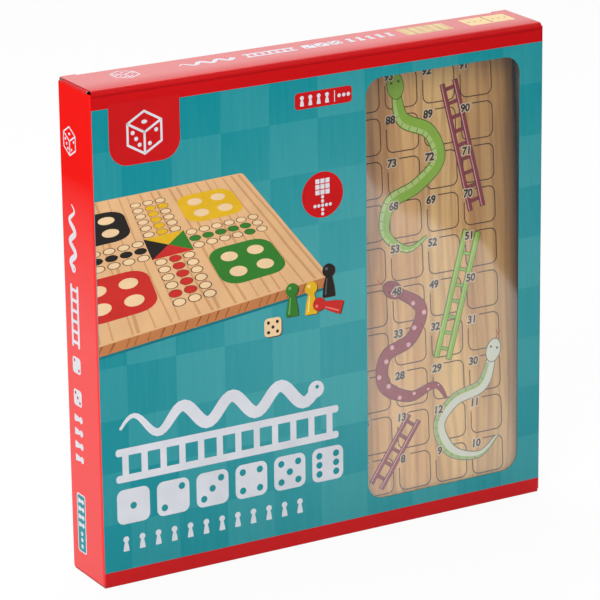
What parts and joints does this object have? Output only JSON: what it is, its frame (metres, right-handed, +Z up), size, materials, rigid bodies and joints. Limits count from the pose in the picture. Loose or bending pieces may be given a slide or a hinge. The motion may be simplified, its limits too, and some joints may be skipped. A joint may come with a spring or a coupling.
{
  "type": "snakes and ladders board",
  "caption": "Wooden snakes and ladders board in a windowed tuck-top card carton, with pawns and a die behind it. The lid, tongue and dust flaps open, and the board tips upright.",
  "frame": {"origin": "middle of the carton's underside", "axes": "+Z up, -Y out of the windowed front, +X to the right seen from the front"},
  "size_m": [0.305, 0.04, 0.301],
  "materials": {
    "teal_print": "satin",
    "red_print": "satin",
    "plain_card": "matte",
    "clear_film": "gloss",
    "pine": "satin",
    "plain_wood": "satin",
    "red_paint": "gloss",
    "green_paint": "gloss",
    "yellow_paint": "gloss",
    "black_paint": "gloss"
  },
  "bodies": {
    "carton": {"front_panel": "teal_print", "back_panel": "teal_print", "left_panel": "red_print", "right_panel": "red_print", "glue_flap": "plain_card", "window_film": "clear_film", "bottom_outer_flap": "red_print", "bottom_inner_flap": "plain_card", "bottom_left_dust_flap": "plain_card", "bottom_right_dust_flap": "plain_card", "pawn_red_1": "red_paint", "pawn_red_2": "red_paint", "pawn_red_3": "red_paint", "pawn_red_4": "red_paint", "pawn_green_1": "green_paint", "pawn_green_2": "green_paint", "pawn_green_3": "green_paint", "pawn_green_4": "green_paint", "pawn_yellow_1": "yellow_paint", "pawn_yellow_2": "yellow_paint", "pawn_yellow_3": "yellow_paint", "pawn_yellow_4": "yellow_paint", "pawn_black_1": "black_paint", "pawn_black_2": "black_paint", "pawn_black_3": "black_paint", "pawn_black_4": "black_paint", "die": "plain_wood"},
    "top_lid": {"top_lid": "red_print"},
    "top_tongue": {"top_tongue": "plain_card"},
    "top_left_dust_flap": {"top_left_dust_flap": "plain_card"},
    "top_right_dust_flap": {"top_right_dust_flap": "plain_card"},
    "board": {"board_stave_1": "pine", "board_stave_2": "pine", "board_stave_3": "pine", "board_stave_4": "pine", "board_stave_5": "pine", "board_stave_6": "pine", "board_stave_7": "pine", "board_stave_8": "pine"}
  },
  "joints": [
    {"name": "lid_fold", "type": "hinge", "parent": "carton", "child": "top_lid", "pos_m": [0, -0.02, 0.2988], "axis": [1, 0, 0], "range_deg": [0, 180]},
    {"name": "tongue_fold", "type": "hinge", "parent": "top_lid", "child": "top_tongue", "pos_m": [0, 0.0176, 0.301], "axis": [1, 0, 0], "range_deg": [0, 72]},
    {"name": "left_dust_flap_fold", "type": "hinge", "parent": "carton", "child": "top_left_dust_flap", "pos_m": [-0.1525, 0, 0.2988], "axis": [0, -1, 0], "range_deg": [0, 90]},
    {"name": "right_dust_flap_fold", "type": "hinge", "parent": "carton", "child": "top_right_dust_flap", "pos_m": [0.1525, 0, 0.2988], "axis": [0, 1, 0], "range_deg": [0, 90]},
    {"name": "board_tilt", "type": "hinge", "parent": "carton", "child": "board", "pos_m": [-0.0025, -0.0123, 0.0018], "axis": [1, 0, 0], "range_deg": [0, 3.6]}
  ],
  "couplings": [
    {"joint": "tongue_fold", "follows": "lid_fold", "ratio": 0.4},
    {"joint": "left_dust_flap_fold", "follows": "lid_fold", "ratio": 0.5},
    {"joint": "right_dust_flap_fold", "follows": "lid_fold", "ratio": 0.5}
  ]
}
